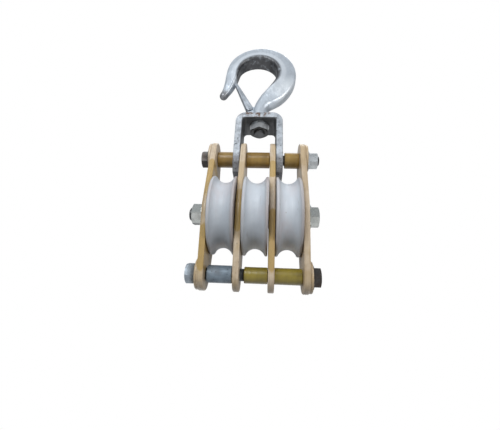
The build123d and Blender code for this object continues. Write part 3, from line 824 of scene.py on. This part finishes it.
# %% Outline of a sheave
SHEAVE_HALF = (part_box("sheave_middle")[1].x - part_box("sheave_middle")[0].x) / 2
SHEAVE_RADIUS = (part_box("sheave_middle")[1].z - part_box("sheave_middle")[0].z) / 2
BUSH_RADIUS = (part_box("bush_middle")[1].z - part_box("bush_middle")[0].z) / 2
GROOVE_RADIUS = 0.0109
GROOVE_DEPTH = 0.0073
LIP_RADIUS = 0.0016
SIDE_ROUND = 0.0012
HUB_RADIUS = 0.017
RIM_INNER = 0.0285
WEB_HALF = 0.006
CORNER = 0.0008
FILLET = 0.0015


def arc(centre, radius, start, end, steps):
    """Points along an arc, with angles in degrees from the first axis."""
    turns = [math.radians(start + (end - start) * i / steps) for i in range(steps + 1)]
    return [(centre[0] + radius * math.cos(t), centre[1] + radius * math.sin(t)) for t in turns]


def sheave_outline():
    """Half the outline, from the groove's bottom to the bore, as distance along X and radius."""
    groove = (0.0, SHEAVE_RADIUS - GROOVE_DEPTH + GROOVE_RADIUS)
    rise = groove[1] - (SHEAVE_RADIUS - LIP_RADIUS)
    reach = GROOVE_RADIUS + LIP_RADIUS
    lip = (math.sqrt(reach**2 - rise**2), SHEAVE_RADIUS - LIP_RADIUS)
    slope = math.degrees(math.atan2(rise, lip[0]))
    side = (SHEAVE_HALF - SIDE_ROUND, SHEAVE_RADIUS - SIDE_ROUND)
    points = arc(groove, GROOVE_RADIUS, -90, -slope, 14)
    points += arc(lip, LIP_RADIUS, 180 - slope, 90, 6)
    points += arc(side, SIDE_ROUND, 90, 0, 4)
    points += arc((SHEAVE_HALF - CORNER, RIM_INNER + CORNER), CORNER, 0, -90, 3)
    points += arc((WEB_HALF + FILLET, RIM_INNER - FILLET), FILLET, 90, 180, 3)
    points += arc((WEB_HALF + FILLET, HUB_RADIUS + FILLET), FILLET, 180, 270, 3)
    points += arc((SHEAVE_HALF - CORNER, HUB_RADIUS - CORNER), CORNER, 90, 0, 3)
    points.append((SHEAVE_HALF, BUSH_RADIUS))
    return points


def turned(name, outline, centre, finish, steps=180):
    """Sweeps a closed outline round the X axis through a centre, as a lathe does."""
    count = len(outline)
    corners = []
    for i in range(steps):
        turn = 2 * math.pi * i / steps
        across, up = math.cos(turn), math.sin(turn)
        corners += [(centre.x + x, centre.y + r * across, centre.z + r * up) for x, r in outline]
    faces = []
    for i in range(steps):
        here, there = i * count, (i + 1) % steps * count
        for j in range(count):
            k = (j + 1) % count
            faces.append((here + j, there + j, there + k, here + k))
    mesh = bpy.data.meshes.new(name)
    mesh.from_pydata(corners, [], faces)
    outward(mesh)
    mesh.shade_smooth()
    mesh.set_sharp_from_angle(angle=math.radians(35))
    mesh.materials.append(finish)
    return placed(name, mesh)


# %% Turn the sheaves
half_outline = sheave_outline()
whole_outline = half_outline + [(-x, r) for x, r in reversed(half_outline[1:])]
for side in ("left", "middle", "right"):
    sheave = turned(f"grooved_sheave_{side}", whole_outline, middle(f"sheave_{side}"), NYLON)
    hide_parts(f"sheave_{side}")
    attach(sheave, f"{side}_sheave")
print("sheave outline points:", len(whole_outline))

# %% [markdown]
# ## The bottom bolt
#
# The bottom bolt is fitted the other way round from the top one: its bluish head is on the left,
# and a thin black nut closes the right. The solids' own meshes have the right forms, so copies of
# them are turned over and their stretches along X are fitted to the new places.

# %% Turn the bottom bolt over
WASHER = 0.0022
HEAD = 0.0085
THIN_WASHER = 0.0012
THIN_NUT = 0.0072
BOLT_PAST_NUT = 0.0005


def moved_along(value, stops):
    """A place carried from one row of stops to another, evenly between the stops."""
    for (a, new_a), (b, new_b) in zip(stops, stops[1:]):
        if a - 1e-7 <= value <= b + 1e-7:
            return new_a + (value - a) * (new_b - new_a) / (b - a)
    return value


def reshaped(name, node, move, finish, body):
    """A merged copy of a solid whose corners are moved, and which stands in for the solid."""
    mesh = nodes[node].data.copy()
    mesh.name = name

    def change(work):
        bmesh.ops.remove_doubles(work, verts=work.verts, dist=1e-6)
        for corner in work.verts:
            corner.co = move(corner.co)

    outward(mesh, change)
    mesh.materials.clear()
    mesh.materials.append(finish)
    mesh.set_sharp_from_angle(angle=math.radians(30))
    piece = placed(name, mesh)
    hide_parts(node)
    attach(piece, body)


def turned_over(stops):
    """A move that turns a piece over in X and then carries its X places to the new stops."""
    return lambda co: Vector((moved_along(-co.x, stops), co.y, co.z))


head_out, head_in = -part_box("bottom_bolt")[1].x, -DISC_FACE
bolt_end = -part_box("bottom_bolt")[0].x
nut_in, nut_out = -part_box("bottom_nut")[1].x, -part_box("bottom_nut")[0].x
left_face = -DISC_FACE - WASHER
right_face = DISC_FACE + THIN_WASHER
bolt_stops = [
    (head_out, left_face - HEAD),
    (head_in, left_face),
    (0.0, 0.0),
    (bolt_end, right_face + THIN_NUT + BOLT_PAST_NUT),
]
nut_stops = [(nut_in, right_face), (nut_out, right_face + THIN_NUT)]
washer_stops = [(DISC_FACE, DISC_FACE), (-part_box("bottom_washer")[0].x, right_face)]
reshaped("turned_bottom_bolt", "bottom_bolt", turned_over(bolt_stops), GREY_ZINC, "block")
for name, node, stops in (
    ("thin_bottom_nut", "bottom_nut", nut_stops),
    ("thin_bottom_washer", "bottom_washer", washer_stops),
):
    reshaped(name, node, turned_over(stops), BLACK_STEEL, "block")

# %% [markdown]
# ## The lower ends of the plates
#
# The plates end a little closer below the bottom bolt than the solids do. Only the outer edge
# under the bolt is drawn up, so the bolt's hole keeps its size. The end discs shrink to match.

# %% Draw up the lower ends
END_SHARE = 0.90
HOLE_ZONE = 0.012


def drawn_up(co):
    """Draws an outer corner below the bottom bolt up towards it."""
    off = co - BOTTOM_BOLT
    if off.z < 0 and math.hypot(off.y, off.z) > HOLE_ZONE:
        return Vector((co.x, co.y, BOTTOM_BOLT.z + off.z * END_SHARE))
    return co.copy()


def drawn_in(co):
    """Draws an outer corner of an end disc in towards the bolt on all sides."""
    off = co - BOTTOM_BOLT
    if math.hypot(off.y, off.z) > HOLE_ZONE:
        return Vector((co.x, BOTTOM_BOLT.y + off.y * END_SHARE, BOTTOM_BOLT.z + off.z * END_SHARE))
    return co.copy()


for side in ("left", "right"):
    reshaped(f"trimmed_side_plate_{side}", f"side_plate_{side}", drawn_up, LAMINATE, "block")
    reshaped(f"trimmed_divider_{side}", f"divider_plate_{side}", drawn_up, LAMINATE, "block")
    reshaped(f"trimmed_disc_{side}", f"bottom_end_disc_{side}", drawn_in, LAMINATE, "block")

# %% [markdown]
# ## A slim latch
#
# The latch is a narrow channel of bent sheet. A tapered bar with round ends is hollowed from its
# bowl side, and the pin's hole and room for the hook's lug are cut through it. It closes in the
# same place as the solid and turns about the same pin.

# %% Sizes of the latch
spans = [v.co - LATCH_PIVOT for v in nodes["latch"].data.vertices]
far_span = max(spans, key=lambda span: span.xz.length)
SOLID_END_RADIUS = 0.0018
LATCH_REACH = far_span.xz.length - SOLID_END_RADIUS
LATCH_ALONG = Vector((far_span.x, 0, far_span.z)).normalized()
LATCH_ASIDE = Vector((LATCH_ALONG.z, 0, -LATCH_ALONG.x))
EAR_RADIUS = 0.0040
END_RADIUS = 0.0016
SHEET = 0.0010
ROOT_HALF = 0.0054
TIP_HALF = 0.0034
HOLLOW_ASIDE = 0.0022
HOLLOW_GROWTH = 0.0004
LUG_HALF = 0.0035
LUG_ROOM = 0.0042
PIN_SCALE = 0.65
SOLID_PIN_RADIUS = 0.0020
HOLE_HALF = 0.02  # past both sides of the latch
SLACK = 0.0001


def prism(name, near_side, far_side):
    """A closed solid between two outlines with the same number of corners."""
    count = len(near_side)
    faces = [tuple(range(count)), tuple(range(2 * count - 1, count - 1, -1))]
    faces += [(i, (i + 1) % count, count + (i + 1) % count, count + i) for i in range(count)]
    mesh = bpy.data.meshes.new(name)
    mesh.from_pydata(near_side + far_side, [], faces)
    outward(mesh)
    return placed(name, mesh)


def bar(name, ear, end, inset=0.0, shift=0.0):
    """A tapered bar with round ends along the latch, whose flat sides lie at +Y and -Y."""
    lean = math.degrees(math.acos((ear - end) / LATCH_REACH))
    ring = arc((0, 0), ear, lean, 360 - lean, 24) + arc((LATCH_REACH, 0), end, -lean, lean, 16)
    sides = {-1: [], 1: []}
    for along, aside in ring:
        share = along / (LATCH_REACH + end)
        half = ROOT_HALF + (TIP_HALF - ROOT_HALF) * share - inset
        place = LATCH_PIVOT + LATCH_ALONG * along + LATCH_ASIDE * (aside + shift)
        for face, corners in sides.items():
            corners.append((place.x, face * half, place.z))
    return prism(name, sides[-1], sides[1])


def rod(name, radius, half):
    """A round rod about the pin's axis."""
    ring = arc((LATCH_PIVOT.x, LATCH_PIVOT.z), radius, 0, 360, 48)[:-1]
    return prism(name, [(x, -half, z) for x, z in ring], [(x, half, z) for x, z in ring])


# %% Cut the latch from its bar
latch_bar = bar("latch_bar", EAR_RADIUS, END_RADIUS)
cutters = [
    bar("latch_hollow", EAR_RADIUS + HOLLOW_GROWTH, END_RADIUS, SHEET, HOLLOW_ASIDE),
    rod("latch_hole", SOLID_PIN_RADIUS * PIN_SCALE + SLACK, HOLE_HALF),
    rod("latch_room", LUG_ROOM, ROOT_HALF - SHEET),
]
for cutter in cutters:
    cut = latch_bar.modifiers.new("cut", "BOOLEAN")
    cut.operation = "DIFFERENCE"
    cut.solver = "EXACT"
    cut.object = cutter
soften = latch_bar.modifiers.new("soften", "BEVEL")
soften.width = 0.00025
soften.segments = 2
soften.limit_method = "ANGLE"
soften.angle_limit = math.radians(40)
finished_bar = latch_bar.evaluated_get(bpy.context.evaluated_depsgraph_get())
shaped = bpy.data.meshes.new_from_object(finished_bar)
for spare in (latch_bar, *cutters):
    bpy.data.objects.remove(spare)
shaped.materials.clear()
shaped.materials.append(LATCH_ZINC)
shaped.shade_smooth()
shaped.set_sharp_from_angle(angle=math.radians(35))
slim_latch = placed("slim_latch", shaped)
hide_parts("latch")
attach(slim_latch, "latch")
print("latch faces", len(shaped.polygons), "reach", round(LATCH_REACH, 4))


# %% Fit the pin and the spring to it
def shrunk(stops):
    """A move that shrinks a piece about the pin's axis and carries its Y places to new stops."""

    def move(co):
        x = LATCH_PIVOT.x + (co.x - LATCH_PIVOT.x) * PIN_SCALE
        z = LATCH_PIVOT.z + (co.z - LATCH_PIVOT.z) * PIN_SCALE
        return Vector((x, math.copysign(moved_along(abs(co.y), stops), co.y), z))

    return move


PIN_PAST_LATCH = 0.0009
pin_stops = [(0.0, 0.0), (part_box("latch_pin")[1].y, ROOT_HALF + PIN_PAST_LATCH)]
reshaped("small_latch_pin", "latch_pin", shrunk(pin_stops), LATCH_ZINC, "hook")
spring_stops = [
    (LUG_HALF, LUG_HALF + SLACK),
    (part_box("latch_spring")[1].y, ROOT_HALF - SHEET - SLACK),
]
reshaped("small_latch_spring", "latch_spring", shrunk(spring_stops), SPRING_STEEL, "latch")

# %% [markdown]
# ## The studio
#
# The block hangs over a white floor. The floor shows as pure white to the camera and in
# reflections, and as a dark surface to the lamps, so the metal has something bright to mirror
# while the undersides of the block stay dark.


# %% Floor
def make_backdrop():
    material = bpy.data.materials.new("backdrop")
    material.use_nodes = True
    tree = material.node_tree
    tree.nodes.clear()
    ray = add(tree, "ShaderNodeLightPath", (-600, 0))
    seen = add(tree, "ShaderNodeMath", (-400, 100), operation="MAXIMUM")
    paint = add(tree, "ShaderNodeBsdfDiffuse", (-250, -100), Color=(0.16, 0.16, 0.16, 1.0))
    white = add(tree, "ShaderNodeEmission", (-250, -250), Color=(1.0, 1.0, 1.0, 1.0), Strength=1.0)
    mix = add(tree, "ShaderNodeMixShader", (0, 0))
    out = add(tree, "ShaderNodeOutputMaterial", (200, 0))
    tree.links.new(ray.outputs["Is Camera Ray"], seen.inputs[0])
    tree.links.new(ray.outputs["Is Glossy Ray"], seen.inputs[1])
    tree.links.new(seen.outputs[0], mix.inputs["Fac"])
    tree.links.new(paint.outputs[0], mix.inputs[1])
    tree.links.new(white.outputs[0], mix.inputs[2])
    tree.links.new(mix.outputs[0], out.inputs["Surface"])
    return material


FLOOR_HEIGHT = cad_low.z - 0.20
ROOM = 3.0
FLOOR_BACK = 1.6

floor_mesh = bpy.data.meshes.new("floor")
floor_edges = ((-ROOM, -ROOM), (ROOM, -ROOM), (ROOM, FLOOR_BACK), (-ROOM, FLOOR_BACK))
floor_mesh.from_pydata([(x, y, FLOOR_HEIGHT) for x, y in floor_edges], [], [(0, 1, 2, 3)])
floor_mesh.materials.append(make_backdrop())
sheet = placed("floor", floor_mesh)

# %% [markdown]
# ## Light
#
# The key is a large soft lamp in front and a little to the left. A smaller one stands in front on
# the right, and a third, above and a little behind, picks out the top edges. The world's light
# falls off from overhead to underfoot, and the world is white where the camera sees it, so no wall
# is needed behind the block.


# %% World and lamps
def make_world(above, level_light, below):
    """Light that falls off from overhead to underfoot, and white where the camera sees it."""
    world = bpy.data.worlds.new("studio")
    world.use_nodes = True
    tree = world.node_tree
    tree.nodes.clear()
    ray = add(tree, "ShaderNodeLightPath", (-600, 0))
    way = add(tree, "ShaderNodeTexCoord", (-900, 200))
    height = add(tree, "ShaderNodeSeparateXYZ", (-700, 200))
    sky = add(tree, "ShaderNodeFloatCurve", (-500, 200))
    span = add(tree, "ShaderNodeMapRange", (-600, 300))
    span.inputs["From Min"].default_value = -1.0
    points = sky.mapping.curves[0].points
    points[0].location = (0.0, below)
    points[1].location = (1.0, above)
    points.new(0.5, level_light)
    sky.mapping.update()
    plain = add(tree, "ShaderNodeBackground", (-200, 100), Color=(0.90, 0.95, 1.0, 1.0))
    mirror = add(tree, "ShaderNodeBackground", (-200, -20), Color=(0.94, 0.97, 1.0, 1.0))
    white = add(tree, "ShaderNodeBackground", (-200, -150), Color=(1.0, 1.0, 1.0, 1.0), Strength=1.0)
    first = add(tree, "ShaderNodeMixShader", (0, 50))
    second = add(tree, "ShaderNodeMixShader", (150, 0))
    out = add(tree, "ShaderNodeOutputWorld", (350, 0))
    links = tree.links
    links.new(way.outputs["Generated"], height.inputs[0])
    links.new(height.outputs["Z"], span.inputs["Value"])
    links.new(span.outputs["Result"], sky.inputs["Value"])
    links.new(sky.outputs[0], plain.inputs["Strength"])
    links.new(sky.outputs[0], mirror.inputs["Strength"])
    links.new(ray.outputs["Is Glossy Ray"], first.inputs["Fac"])
    links.new(plain.outputs[0], first.inputs[1])
    links.new(mirror.outputs[0], first.inputs[2])
    links.new(ray.outputs["Is Camera Ray"], second.inputs["Fac"])
    links.new(first.outputs[0], second.inputs[1])
    links.new(white.outputs[0], second.inputs[2])
    links.new(second.outputs[0], out.inputs["Surface"])
    bpy.context.scene.world = world


def lamp(name, place, target, size, power, colour):
    """A round soft lamp at a place, turned to its target."""
    data = bpy.data.lights.new(name, "AREA")
    data.shape = "DISK"
    data.size = size
    data.energy = power
    data.color = colour
    light = bpy.data.objects.new(name, data)
    bpy.context.scene.collection.objects.link(light)
    light.location = place
    light.rotation_euler = (target - place).to_track_quat("-Z", "Y").to_euler()


make_world(0.80, 0.26, 0.02)
AIM = Vector((0, 0, -0.15))
lamp("key", Vector((-0.30, -0.80, 0.12)), AIM, 0.60, 4.7, (0.96, 0.985, 1.0))
lamp("side", Vector((0.58, -0.62, -0.05)), AIM, 0.45, 2.3, (1.0, 0.98, 0.95))
lamp("top", Vector((0.1, 0.30, 0.85)), AIM, 0.5, 1.6, (0.95, 0.98, 1.0))
